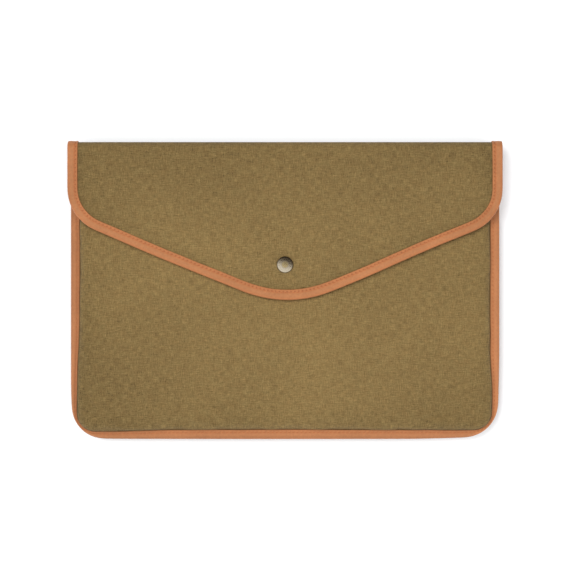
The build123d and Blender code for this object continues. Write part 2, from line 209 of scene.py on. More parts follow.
def sheet_piece(name, points, uv, thickness, flip=False, marks=None):
    """Thin sheet from a grid of points; its thickness goes in from the side that faces out.

    The sheet's cut edges are marked sharp, so that the thin wall there doesn't shade the cloth beside it.
    """
    rows, columns = points.shape[:2]
    faces = grid_faces(rows, columns)
    if flip:
        faces = faces[:, ::-1]
    piece = new_piece(name, points, faces.tolist(), uv, marks=marks)
    border = np.ones((rows, columns), bool)
    border[1:-1, 1:-1] = False
    ends = np.zeros(2 * len(piece.data.edges), np.int32)
    piece.data.edges.foreach_get("vertices", ends)
    cut = border.ravel()[ends].reshape(-1, 2).all(axis=1)
    piece.data.attributes.new("sharp_edge", "BOOLEAN", "EDGE").data.foreach_set("value", cut)
    wall = piece.modifiers.new("thickness", "SOLIDIFY")
    wall.thickness = thickness
    wall.offset = -1
    return piece


def doubled(grid):
    """Twice as fine a grid: new rows lie on a smooth curve through the four rows nearest to them."""
    padded = np.concatenate([2 * grid[:1] - grid[1:2], grid, 2 * grid[-1:] - grid[-2:-1]])
    between = (9 * (padded[1:-2] + padded[2:-1]) - padded[:-3] - padded[3:]) / 16
    made = np.empty((2 * len(grid) - 1,) + grid.shape[1:])
    made[::2] = grid
    made[1::2] = between
    return made


def settled(points, held, spare, pressure, most, bend, steps=20):
    """The same grid of points after the cloth has settled, with the held points kept where they are.

    Every second row and column is simulated as cloth that is larger than its place by the share spare and
    is pushed out by pressure. Each point's way is then drawn in to most: most * tanh(way / most).
    """
    coarse = points[::2, ::2]
    piece = new_piece("settling", coarse, grid_faces(*coarse.shape[:2]).tolist())
    pins = piece.vertex_groups.new(name="held")
    pins.add(np.flatnonzero(held[::2, ::2]).tolist(), 1.0, "REPLACE")
    cloth = piece.modifiers.new("cloth", "CLOTH")
    cloth.settings.quality = 6
    cloth.settings.mass = 0.25
    cloth.settings.tension_stiffness = 25
    cloth.settings.compression_stiffness = 25
    cloth.settings.shear_stiffness = 8
    cloth.settings.bending_stiffness = bend
    cloth.settings.air_damping = 2.0
    cloth.settings.shrink_min = -spare
    cloth.settings.use_pressure = True
    cloth.settings.uniform_pressure_force = pressure
    cloth.settings.effector_weights.gravity = 0
    cloth.settings.vertex_group_mass = "held"
    cloth.collision_settings.use_collision = False
    cloth.point_cache.frame_end = steps
    for step in range(1, steps + 1):
        bpy.context.scene.frame_set(step)
    shape = piece.evaluated_get(bpy.context.evaluated_depsgraph_get())
    place = np.zeros(coarse.size, np.float32)
    shape.data.vertices.foreach_get("co", place)
    way = place.reshape(coarse.shape) - coarse
    size = np.linalg.norm(way, axis=-1, keepdims=True) + 1e-9
    way *= most * np.tanh(size / most) / size
    bpy.context.scene.frame_set(1)
    bpy.data.objects.remove(piece)
    return points + np.swapaxes(doubled(np.swapaxes(doubled(way), 0, 1)), 0, 1)


def strip_piece(name, points, uv):
    """Closed strip: points is (along the path, round the section, 3), and both ends are closed flat."""
    count, ring = points.shape[:2]
    faces = grid_faces(count, ring, wrap=True).tolist()
    faces.append(list(range(ring))[::-1])
    faces.append(list(range((count - 1) * ring, count * ring)))
    return new_piece(name, points, faces, uv)


# ---- Outlines, flat on the table with the flap opened out ----


def drawn_in(points):
    """The body's points with its lower right corner drawn in, a little over a millimetre each way."""
    away = np.hypot(points[..., 0] - body_half, points[..., 1] - bottom_y)
    pull = smooth((75 * MM - away) / (70 * MM)) * smooth((fold_start - points[..., 1]) / (40 * MM))
    return points + pull[..., None] * np.array([-1.0, 1.15, 0.0]) * MM


def panel_inset(x, y):
    """How far a point is inside the edge of the padded panel: a rounded box, wider towards the bottom.

    The leather beside it narrows over the last of each side, sooner at the left, and along the bottom it is
    a little narrower towards the two corners than in the middle.
    """
    narrowing = np.where(x < 0, 78 * MM, 42 * MM)
    half = body_half - edge_bottom - (edge_top - edge_bottom) * smooth((y + 88 * MM) / narrowing)
    low = edge_low + 0.6 * MM + 0.4 * MM * np.exp(-((x / (60 * MM)) ** 2))
    low -= 1.2 * MM * smooth((-x - 90 * MM) / (55 * MM)) + 1.0 * MM * smooth((x - 105 * MM) / (45 * MM))
    px = np.abs(x) - (half - panel_corner)
    py = (bottom_y + low + panel_corner) - y
    outside = np.hypot(np.maximum(px, 0), np.maximum(py, 0)) + np.minimum(np.maximum(px, py), 0)
    return panel_corner - outside


def body_outline():
    """Outer edge of the leather round the body: down the left side, along the bottom and up the right side.

    It comes in a little at the lower left, and up along the bottom, most at the corners.
    """
    corners = [(-body_half, fold_y), (-body_half, bottom_y), (body_half, bottom_y), (body_half, fold_y)]
    path = rounded_path(corners, [25.5 * MM, 26.5 * MM], blur=4.5 * MM)
    low_down = smooth((-60 * MM - path[:, 1]) / (50 * MM))
    inward = 0.25 + 0.45 * smooth((-72 * MM - path[:, 1]) / (25 * MM))
    path[:, 0] += inward * MM * smooth((-path[:, 0] / body_half - 0.6) / 0.35)
    path[:, 1] += low_down * (0.68 + 0.35 * (np.abs(path[:, 0]) / body_half) ** 2) * MM
    return path


def flap_outline(end):
    """Outer edge of the flap from the left end of the spine, round the tip, to the right end.

    Four bell curves bend its two straight sides by up to a millimetre.
    """
    slope = math.radians(flap_slope)
    low = tip_y - tip_radius * (1 / math.cos(slope) - 1)
    shoulder = low + flap_half * math.tan(slope)
    corners = [(-flap_half, end), (-flap_half, shoulder), (0, low), (flap_half, shoulder), (flap_half, end)]
    path = rounded_path(corners, [36 * MM, tip_radius, 35 * MM], blur=2 * MM)
    for at, wide, drop in ((-107, 32, 0.5), (-30, 30, -0.7), (60, 32, 1.0), (148, 18, 0.5)):
        bell = np.exp(-(((path[:, 0] / MM - at) / wide) ** 2))
        path[:, 1] -= drop * MM * bell * (path[:, 1] < fold_start)
    return path


# ---- Folding the flat shapes round the two folds ----

arc = fold_radius * math.pi / 2


def over_fold(x, s, h):
    """Flap and upper fold: s runs up the flat flap, round the fold and down the spine; h is outwards."""
    a = np.clip((s - fold_start) / fold_radius, 0, math.pi / 2)
    past = np.maximum(s - fold_start - arc, 0)
    flat = np.minimum(s, fold_start)
    y = flat + (fold_radius + h) * np.sin(a)
    z = flap_top - fold_radius + (fold_radius + h) * np.cos(a) - past
    return np.stack(np.broadcast_arrays(x, y, z), axis=-1)


def up_spine(x, s, base, h):
    """Back and lower fold: s runs up the back, round the fold and up the spine to its middle.

    base is how high the back already is at each point beside the seams; what is left of the way up to the
    middle of the spine is shared out in proportion.
    """
    a = np.clip((s - fold_start) / fold_radius, 0, math.pi / 2)
    past = np.maximum(s - fold_start - arc, 0)
    rise = (fold_radius - (fold_radius + h) * np.cos(a) + past) / spine_mid_z
    start = -h / spine_mid_z
    rise = (rise - start) / (1 - start)
    y = np.minimum(s, fold_start) + (fold_radius + h) * np.sin(a)
    z = base + (spine_mid_z - base) * rise
    return np.stack(np.broadcast_arrays(x, y, z), axis=-1)


spine_end_s = fold_start + arc + flap_top - fold_radius - spine_mid_z  # the spine's middle, in s


# ---- Padded panels ----


def panel_height(x, y, full, edge, roll, inset_by):
    """Height of a padded panel over the seam: an upright superellipse in the inset, flat past roll."""
    t = np.clip((panel_inset(x, y) - inset_by) / roll, 0, 1)
    return edge + (full - edge) * np.power(1 - np.power(1 - t, 3.0), 1 / 3.0)


def unrolled(x, y, full, edge, roll, inset_by):
    """Flat map of a padded panel: each point is moved out, down the slope of the inset.

    It moves by how much longer the way up the roll is than its width: the superellipse's length less t.
    """
    t = np.linspace(0, roll, 400)
    h = edge + (full - edge) * np.power(1 - np.power(1 - t / roll, 3.0), 1 / 3.0)
    along = np.concatenate([[0], np.cumsum(np.hypot(np.diff(t), np.diff(h)))])
    longer = along[-1] - along - (roll - t)
    inset = panel_inset(x, y)
    step = 0.01 * MM
    out = np.interp(inset - inset_by, t, longer)
    u = x - out * (panel_inset(x + step, y) - inset) / step
    v = y - out * (panel_inset(x, y + step) - inset) / step
    return np.stack([u, v], axis=-1)


def body_grid(y_end, nx, ny, margin, seam=0.0):
    """Grid over the body's outline: square, with its two bottom corners drawn in to arcs.

    It is finer towards the sides and the bottom, and the points nearest to the line that lies seam inside
    the panel's edge are moved onto it: back along the slope of the inset, by the inset.
    """
    half = body_half - margin
    low = bottom_y + margin
    u = np.linspace(-1, 1, nx)[None, :]
    v = np.linspace(0, 1, ny)[:, None]
    x = half * (u + 0.45 * np.sin(math.pi * u) / math.pi) + np.zeros((ny, 1))
    y = low + (y_end - low) * (v - 0.35 * np.sin(math.pi * v) / math.pi) + np.zeros((1, nx))
    radius = 26 * MM
    p = np.clip((np.abs(x) - (half - radius)) / radius, 0, 1)
    q = np.clip((low + radius - y) / radius, 0, 1)
    new_x = np.sign(x) * (np.abs(x) - p * radius + p * radius * np.sqrt(1 - q * q / 2))
    new_y = y + q * radius - q * radius * np.sqrt(1 - p * p / 2)
    off = panel_inset(new_x, new_y) - seam
    step = 0.01 * MM
    slope_x = (panel_inset(new_x + step, new_y) - seam - off) / step
    slope_y = (panel_inset(new_x, new_y + step) - seam - off) / step
    near = np.abs(off) < 0.62 * np.abs(np.gradient(off, axis=1)) + 0.62 * np.abs(np.gradient(off, axis=0))
    return new_x - near * off * slope_x, new_y - near * off * slope_y


def front_outer(x, y):
    """Height of the front canvas: the pillow, soft undulation, small puckers by the seam, the dimple."""
    inset = panel_inset(x, y)
    z = seam_mid + panel_height(x, y, body_top - seam_mid, canvas_lift, front_roll, 0)
    z = np.where(inset < 1e-6, seam_mid + canvas_lift, z)
    calm = smooth(inset / (14 * MM))
    z += calm * 0.16 * MM * waves(x, y, 0.09, 3)
    near = np.exp(-((inset - 5 * MM) / (4 * MM)) ** 2) * (inset > 0)
    z += near * 0.12 * MM * waves(x, y, 0.013, 5)
    ring = np.hypot(x, y - snap_y)
    z -= 1.4 * MM * smooth((12 * MM - ring) / (5 * MM))
    return z


def away_from(path, x, y):
    """Distance from each point of a grid to the nearest point of a path."""
    nearest = np.full(x.shape, np.inf)
    for part in np.array_split(path, 40):
        gap = np.hypot(x[..., None] - part[:, 0], y[..., None] - part[:, 1])
        nearest = np.minimum(nearest, gap.min(axis=-1))
    return nearest


x, y = body_grid(mouth_y, 241, 171, canvas_margin)
inset = panel_inset(x, y)
points = np.stack([x, y, front_outer(x, y)], axis=-1)
kept_still = (inset < 0.8 * MM) | (y > mouth_y - 2 * MM) | (np.hypot(x, y - snap_y) < 9 * MM)
points = settled(points, kept_still, spare=0.006, pressure=0.6, most=0.4 * MM, bend=0.8)
points[..., 2] = np.minimum(points[..., 2], body_top + 0.35 * MM)
# Distance to the flap's edge, drawn out towards the right: the canvas material paints the edge's shadow
# along it, with a line rubbed by the edge.
edge_shadow_and_rub = away_from(flap_outline(fold_start), x, y) * (1 - 0.35 * smooth(x / (60 * MM)))
front = sheet_piece(
    "front_panel", drawn_in(points), unrolled(x, y, body_top - seam_mid, canvas_lift, front_roll, 0),
    canvas, marks={"seam": inset, "edge_shadow_and_rub": edge_shadow_and_rub},
)

x, y = body_grid(mouth_y, 161, 111, lining_margin, seam=panel)
z = seam_mid + panel_height(x, y, body_top - seam_mid - panel, lining_lift, lining_roll, panel)
z = np.where(panel_inset(x, y) < panel + 1e-6, seam_mid + lining_lift, z)
z += smooth((panel_inset(x, y) - panel) / (12 * MM)) * 0.12 * MM * waves(x, y, 0.05, 8)
front_lining = sheet_piece(
    "front_lining_cloth", drawn_in(np.stack([x, y, z], axis=-1)),
    unrolled(x, y, body_top - seam_mid - panel, lining_lift, lining_roll, panel), lining, flip=True,
)


def back_cloth(name, depth, edge, roll, thickness, nx, ny, seed, ripple, flip):
    """Canvas or lining of the back: the pillow upside down, then round the lower fold and up the spine.

    The padding ends at the fold, so the lining comes nearer to the canvas there, to meet the flap's lining.
    """
    x, s = body_grid(spine_end_s, nx, ny, canvas_margin, seam=depth)
    full = seam_mid - depth
    inset = panel_inset(x, s)
    drop = panel_height(x, np.minimum(s, fold_start), full, edge, roll, depth)
    drop = np.where(inset < depth + 1e-6, edge, drop)
    base = seam_mid - drop
    calm = smooth((inset - depth) / (14 * MM)) * smooth((fold_start - s) / (20 * MM))
    base += calm * ripple * (1.6 + waves(x, s, 0.07, seed)).clip(0)
    thinner = (depth - min(depth, flap_thick)) * smooth((s - fold_start) / arc)
    points = drawn_in(up_spine(x, s, np.maximum(base, 0), thinner - depth))
    # Marks for painted shade beside the seam; no flap edge shadow is painted on the back.
    marks = {"seam": inset, "edge_shadow_and_rub": np.full(x.shape, far_off)}
    return sheet_piece(name, points, unrolled(x, s, full, edge, roll, depth), thickness, flip, marks)


back = back_cloth("back_panel", 0.0, canvas_lift, back_roll, canvas, 221, 190, 21, 0.1 * MM, True)
back_lining = back_cloth(
    "back_lining_cloth", panel, lining_lift, lining_roll, lining, 161, 150, 22, 0.1 * MM, False
)


# ---- Flap ----


def flap_cloth(name, depth, thickness, nx, ny, seed, ripple, flip):
    """Canvas or lining of the flap: columns from the spine's middle, over the fold, to the flap's edge."""
    edge = flap_outline(spine_end_s)
    _, _, left = along_path(edge)
    edge = edge + left * cut_in
    half = edge[:, 0].max()
    u = np.sin(np.linspace(-1, 1, nx) * math.pi / 2 * 0.94) / math.sin(math.pi / 2 * 0.94)
    x = (u * half)[None, :]
    lower = edge[np.argsort(edge[:, 0])]
    lower = lower[np.concatenate([[True], np.diff(lower[:, 0]) > 1e-7])]
    inner = lower[np.abs(lower[:, 0]) < half - 0.05 * MM]
    edge_y = np.interp(x, inner[:, 0], inner[:, 1])
    v = np.linspace(0, 1, ny)[:, None]
    s = spine_end_s + (edge_y - spine_end_s) * v
    x = x + np.zeros_like(s)
    calm = smooth((fold_start - s) / (16 * MM))
    ring = np.hypot(x, s - snap_y)
    h = -depth + calm * ripple * (waves(x, s, 0.08, seed) + 0.3 * waves(x, s, 0.024, seed + 1))
    h = h - 0.35 * MM * np.exp(-((ring / (11 * MM)) ** 2)) * smooth((ring - 5 * MM) / (3 * MM))
    points = over_fold(x, s, h)
    inside = away_from(flap_outline(spine_end_s), x, s) - flap_edge
    if depth == 0:
        kept_still = (inside < 0.6 * MM) | (s > fold_start - 4 * MM) | (ring < 7.5 * MM)
        points = settled(points, kept_still, spare=0.003, pressure=0.0, most=0.3 * MM, bend=0.8)
    # The seam mark starts 4 mm out, so less painted shade is laid beside the flap's leather; no flap edge
    # shadow is painted here.
    marks = {"seam": inside + 4 * MM, "edge_shadow_and_rub": np.full(x.shape, far_off)}
    return sheet_piece(name, points, np.stack([x, s], axis=-1), thickness, flip, marks)


flap = flap_cloth("flap_panel", 0.0, canvas, 241, 129, 31, 0.2 * MM, True)
flap_lining = flap_cloth("flap_lining_cloth", flap_thick, lining, 181, 100, 31, 0.2 * MM, False)


# ---- Leather strips ----


def strip_section(width, half_high):
    """Section of a folded leather strip, for each place along it: in from the outer edge, and up.

    It starts at the inner edge on top, dips at the stitches, swells between them and the outer edge, turns
    round the outer edge and comes back underneath.
    """
    q = (width / (7 * MM))[:, None]
    near = np.array([0.0, 0.0, 0.12, 0.35, 1.0, 1.5, 1.9, 2.15, 2.4, 2.7, 3.1, 3.6]) * MM
    drop = np.array([0.85, 0.2, 0.025, 0.0, 0.0, 0.03, 0.1, 0.135, 0.1, 0.03, -0.01, -0.04]) * MM
    a = width[:, None] - near * np.minimum(q, 1.15)
    up = half_high - drop * np.ones_like(a)
    round_r = np.minimum(1.1 * MM, 0.35 * width)[:, None]
    t = np.linspace(0, 1, 5)[None, 1:-1]
    last = a[:, -1:]
    a = np.concatenate([a, last + (round_r - last) * t], axis=1)
    up = np.concatenate([up, half_high + 0.12 * MM * (1 - t) + 0 * round_r], axis=1)
    turn = np.linspace(0, math.pi / 2, 8)[None, :]
    a = np.concatenate([a, round_r * (1 - np.sin(turn))], axis=1)
    up = np.concatenate([up, half_high * np.power(np.cos(turn), 0.6) * np.ones_like(round_r)], axis=1)
    under_a, under_up = a[:, -2::-1], -up[:, -2::-1]
    return np.concatenate([a, under_a], axis=1), np.concatenate([up, under_up], axis=1)


def leather_strip(name, path, width, half_high, middle, place, wobble, seed):
    """Strip carried along the outer edge path, inwards by width; place turns (x, s, h) into a point."""
    along, _, left = along_path(path)
    a, up = strip_section(width, half_high)
    a = a + wobble * waves(along[:, None], 0 * a, 0.03, seed) * np.clip(a / width[:, None], 0, 1)
    x = path[:, :1] + left[:, :1] * a
    s = path[:, 1:] + left[:, 1:] * a
    points = place(x, s, middle + up)
    if place is in_seam:
        points = drawn_in(points)
    gap = np.hypot(np.diff(a, axis=1, prepend=a[:, :1]), np.diff(up, axis=1, prepend=up[:, :1]))
    across = np.cumsum(gap, axis=1)
    uv = np.stack(np.broadcast_arrays(along[:, None], across), axis=-1)
    return strip_piece(name, points, uv)


def in_seam(x, s, h):
    """Place of the body's leather: flat at the height of the side seam."""
    return np.stack(np.broadcast_arrays(x, s, h), axis=-1)


def width_to_panel(path):
    """Width of the leather at each place: from the outer edge straight in to the padded panel."""
    _, _, left = along_path(path)
    width = np.full(len(path), 6.0 * MM)
    for _ in range(12):
        reach = path + left * width[:, None]
        width = width - panel_inset(reach[:, 0], reach[:, 1])
    return width


body_path = body_outline()
body_width = width_to_panel(body_path)
body_leather = leather_strip(
    "body_leather", body_path, body_width, (seam_high - seam_low) / 2, seam_mid, in_seam,
    wobble=0.08 * MM, seed=41,
)

flap_path = flap_outline(spine_end_s)
flap_width = np.full(len(flap_path), flap_edge)
flap_half_high = (flap_top - lining_low) / 2 + leather
flap_leather = leather_strip(
    "flap_leather", flap_path, flap_width, flap_half_high, -(flap_top - lining_low) / 2, over_fold,
    wobble=0.08 * MM, seed=42,
)


# ---- Stitches ----


def stitch_row(name, path, inward, heights, place, from_s=1.0):
    """Row of separate stitches: short arched threads, one every pitch, set along a path.

    inward is how far the row is from the path at each place. heights are the leather's two faces, with 1
    for the side that faces up and -1 for the other. Only stitches below from_s are made.
    """
    along, _, left = along_path(path)
    row = path + left * inward[:, None]
    row_along, _, _ = along_path(row)
    count = int(row_along[-1] / pitch)
    pick = np.random.default_rng(5)
    middle = (np.arange(count) + 0.5) * row_along[-1] / count
    rings, sides = 6, 6
    t = np.linspace(-1, 1, rings)[None, :, None]
    around = (np.arange(sides) / sides * math.tau)[None, None, :]
    length = pitch * 0.36
    fat = 0.30 * MM * np.sqrt(np.clip(1 - 0.96 * t**4, 0, 1))
    jitter = pick.normal(0, 0.04 * MM, (count, 1, 1))
    at = middle[:, None, None] + t * length + 0 * around
    off = np.cos(around) * fat + jitter + 0.06 * MM * t
    lift = 0.16 * MM * (1 - t**2) - 0.1 * MM + np.sin(around) * fat * 0.8
    row_x = np.interp(at, row_along, row[:, 0])
    row_s = np.interp(at, row_along, row[:, 1])
    left_x = np.interp(at, row_along, left[:, 0])
    left_s = np.interp(at, row_along, left[:, 1])
    points, faces = [], []
    ring_faces = grid_faces(rings, sides, wrap=True)
    ends = [list(range(sides))[::-1], list(range((rings - 1) * sides, rings * sides))]
    for level, side in heights:
        keep = row_s[:, 0, 0] < from_s
        p = place(row_x + left_x * off, row_s + left_s * off, level + np.sign(side) * lift)[keep]
        if place is in_seam:
            p = drawn_in(p)
        start = sum(len(q) for q in points) * rings * sides
        steps = start + np.arange(len(p)) * rings * sides
        quads = (steps[:, None, None] + ring_faces[None]).reshape(-1, 4)
        caps = [(steps[:, None] + np.array(e)[None]) for e in ends]
        if side < 0:
            quads, caps = quads[:, ::-1], [c[:, ::-1] for c in caps]
        faces += quads.tolist() + caps[0].tolist() + caps[1].tolist()
        points.append(p)
    return new_piece(name, np.concatenate(points).reshape(-1, 3), faces)


body_row = body_width - body_row_in * np.minimum(body_width / (7 * MM), 1.15)
body_stitches = stitch_row(
    "body_stitches", body_path, body_row, [(seam_high - thread_dip, 1), (seam_low + thread_dip, -1)],
    in_seam, from_s=fold_start,
)
flap_stitches = stitch_row(
    "flap_stitches", flap_path, flap_width - row_in,
    [(leather - thread_dip, 1), (lining_low - flap_top - leather + thread_dip, -1)], over_fold,
)

# ---- Leather over the mouth of the pocket ----


def on_mouth(x, s, h):
    """Place of the leather over the mouth: it goes down at both ends with the roll of the panel's sides."""
    full = body_top - seam_mid
    drop = full - panel_height(x, np.full(np.shape(x), mouth_y), full, canvas_lift, front_roll, 0)
    return np.stack(np.broadcast_arrays(x, s, h - drop), axis=-1)


half = body_half - edge_top - 3 * MM
mouth_path = rounded_path([(half, mouth_y + leather), (-half, mouth_y + leather)], [])
mouth_leather = leather_strip(
    "mouth_leather", mouth_path, np.full(len(mouth_path), mouth_edge), panel / 2 + leather,
    body_top - panel / 2, on_mouth, wobble=0.05 * MM, seed=43,
)
mouth_stitches = stitch_row(
    "mouth_stitches", mouth_path, np.full(len(mouth_path), mouth_edge - body_row_in),
    [(body_top + leather - thread_dip, 1), (body_top - panel - leather + thread_dip, -1)], on_mouth,
)


# ---- Snap cap ----


def snap_cap(name, segments=192, rings=56, dimples=13):
    """Pressed cap: a surface turned about the snap's axis, closed flat underneath.

    The dome is 1 - 0.72 t^2 - 0.28 t^14 high, where t is the share of its radius, with a flat-bottomed dish
    in its middle and a ring of round dimples, each a bell curve of the distance to its centre.
    """
    t = np.linspace(1, 0, rings) ** 0.85
    rise = cap_top - flap_top - 0.45 * MM
    dome = rise * (1 - 0.72 * t**2 - 0.28 * t**14) - 0.10 * MM * smooth((0.46 - t) / 0.06)
    under_radius = np.array([0.02 * MM, cap_radius * 0.95, cap_radius])
    radius = np.concatenate([under_radius, cap_radius * t])
    radius[-1] = 0.02 * MM
    height = np.concatenate([[0.0, 0.0, 0.12 * MM], dome + 0.3 * MM])
    a = np.arange(segments) / segments * math.tau
    turn = (a * dimples / math.tau) % 1 - 0.5
    middle = 0.70 * cap_radius
    away = np.hypot(radius[:, None] - middle, (turn * math.tau / dimples * middle)[None, :])
    dent = 0.16 * MM * np.exp(-((away / (0.36 * MM)) ** 2)) * (np.arange(len(radius)) > 3)[:, None]
    points = np.stack(
        [
            radius[:, None] * np.cos(a)[None], snap_y + radius[:, None] * np.sin(a)[None],
            height[:, None] - dent + flap_top - 0.1 * MM,
        ],
        axis=-1,
    )
    return strip_piece(name, points, np.stack([points[..., 0], points[..., 1] - snap_y], axis=-1))


cap = snap_cap("snap_cap_shell")


# ---- Materials ----


def node(tree, kind, inputs=None, **settings):
    """Adds a shader node with its settings and the values or links of its inputs."""
    made = tree.nodes.new(kind)
    for key, value in settings.items():
        setattr(made, key, value)
    for key, value in (inputs or {}).items():
        socket = made.inputs[key]
        if isinstance(value, bpy.types.NodeSocket):
            tree.links.new(value, socket)
        else:
            socket.default_value = value
    return made


def maths(tree, operation, a, b=0.0, c=0.0):
    """Adds one step of arithmetic."""
    return node(tree, "ShaderNodeMath", {0: a, 1: b, 2: c}, operation=operation).outputs[0]


def remap(tree, value, low, high, new_low=0.0, new_high=1.0):
    """Eased change of a value from one range to another, held at both ends."""
    made = node(
        tree, "ShaderNodeMapRange",
        {"Value": value, "From Min": low, "From Max": high, "To Min": new_low, "To Max": new_high},
        interpolation_type="SMOOTHSTEP",
    )
    return made.outputs["Result"]


def noise(tree, vector, scale, detail=3.0, roughness=0.5, distortion=0.0):
    """Cloudy noise, about 0.5 on average."""
    made = node(
        tree, "ShaderNodeTexNoise",
        {
            "Vector": vector, "Scale": scale, "Detail": detail, "Roughness": roughness,
            "Distortion": distortion,
        },
    )
    return made.outputs["Fac"]


def stretched(tree, vector, size):
    """The same position, stretched by a factor along each axis."""
    return node(tree, "ShaderNodeVectorMath", {0: vector, 1: size}, operation="MULTIPLY").outputs[0]


def new_group(name, inputs, outputs):
    """Empty node group with named inputs and outputs, and its two end nodes."""
    tree = bpy.data.node_groups.new(name, "ShaderNodeTree")
    for label, kind in inputs:
        tree.interface.new_socket(label, in_out="INPUT", socket_type=kind)
    for label, kind in outputs:
        tree.interface.new_socket(label, in_out="OUTPUT", socket_type=kind)
    return tree, tree.nodes.new("NodeGroupInput"), tree.nodes.new("NodeGroupOutput")


def weave_group():
    """Plain weave: over-and-under threads, thick slubs along both threads, and how much each is soiled."""
    tree, enter, leave = new_group(
        "plain_weave",
        [("Position", "NodeSocketVector"), ("Thread", "NodeSocketFloat"), ("Slubs", "NodeSocketFloat")],
        [("Height", "NodeSocketFloat"), ("Shade", "NodeSocketFloat")],
    )
    place = enter.outputs["Position"]
    bend = noise(tree, place, 160.0, 2.0)
    split = node(tree, "ShaderNodeSeparateXYZ", {0: place})
    turns = maths(tree, "DIVIDE", math.pi, enter.outputs["Thread"])
    sway = maths(tree, "MULTIPLY", maths(tree, "SUBTRACT", bend, 0.5), 1.6)
    u = maths(tree, "MULTIPLY_ADD", split.outputs[0], turns, sway)
    v = maths(tree, "MULTIPLY_ADD", split.outputs[1], turns, sway)
    over = maths(tree, "MULTIPLY", maths(tree, "SINE", u), maths(tree, "SINE", v))
    warp = maths(tree, "ABSOLUTE", maths(tree, "SINE", u))
    weft = maths(tree, "ABSOLUTE", maths(tree, "SINE", v))
    pick = maths(tree, "GREATER_THAN", over, 0.0)
    thread = node(tree, "ShaderNodeMix", {"Factor": pick, "A": warp, "B": weft}, data_type="FLOAT")
    slub_a = noise(tree, stretched(tree, place, (1500.0, 190.0, 1.0)), 1.0, 2.0, 0.6)
    slub_b = noise(tree, stretched(tree, place, (170.0, 1350.0, 1.0)), 1.0, 2.0, 0.6)
    slub = maths(tree, "ADD", maths(tree, "SUBTRACT", slub_a, 0.5), maths(tree, "SUBTRACT", slub_b, 0.5))
    slub = maths(tree, "MULTIPLY", slub, enter.outputs["Slubs"])
    grain = maths(tree, "SUBTRACT", noise(tree, place, 1100.0, 2.0, 0.7), 0.5)
    height = maths(tree, "MULTIPLY_ADD", slub, 0.9, thread.outputs["Result"])
    shade = maths(tree, "MULTIPLY_ADD", grain, 1.0, slub)
    tree.links.new(height, leave.inputs["Height"])
    tree.links.new(shade, leave.inputs["Shade"])
    return tree


def wear_group():
    """Washing and handling: broad soft clouds and a finer mottle, both about nought."""
    tree, enter, leave = new_group(
        "wear",
        [("Position", "NodeSocketVector"), ("Size", "NodeSocketFloat")],
        [("Cloud", "NodeSocketFloat"), ("Mottle", "NodeSocketFloat")],
    )
    scale = maths(tree, "DIVIDE", 1.0, enter.outputs["Size"])
    broad = noise(tree, enter.outputs["Position"], scale, 2.0, 0.55, 0.4)
    fine = noise(tree, enter.outputs["Position"], maths(tree, "MULTIPLY", scale, 22.0), 4.0, 0.6)
    tree.links.new(maths(tree, "SUBTRACT", broad, 0.5), leave.inputs["Cloud"])
    tree.links.new(maths(tree, "SUBTRACT", fine, 0.5), leave.inputs["Mottle"])
    return tree


plain_weave = weave_group()
wear = wear_group()


def tinted(tree, color, amount):
    """The colour made lighter or darker by amount, which is about nought."""
    factor = maths(tree, "ADD", amount, 1.0)
    alike = node(tree, "ShaderNodeCombineXYZ", {0: factor, 1: factor, 2: factor}).outputs[0]
    return node(tree, "ShaderNodeVectorMath", {0: color, 1: alike}, operation="MULTIPLY").outputs[0]


def mixed(tree, factor, first, second):
    """Colour between first and second."""
    made = node(tree, "ShaderNodeMix", {"Factor": factor, "A": first, "B": second}, data_type="RGBA")
    return made.outputs["Result"]


def new_look(name):
    """New material, its node tree and its shader."""
    made = bpy.data.materials.new(name)
    made.use_nodes = True
    return made, made.node_tree, made.node_tree.nodes["Principled BSDF"]


def worn_by(tree, place, size):
    """Clouds and mottle of wear, about size long."""
    made = node(tree, "ShaderNodeGroup", {"Position": place, "Size": size}, node_tree=wear)
    return made.outputs["Cloud"], made.outputs["Mottle"]


def embossed(tree, shader, height, strength, distance):
    """Raises or dents the surface by height."""
    relief = node(tree, "ShaderNodeBump", {"Height": height, "Strength": strength, "Distance": distance})
    tree.links.new(relief.outputs["Normal"], shader.inputs["Normal"])


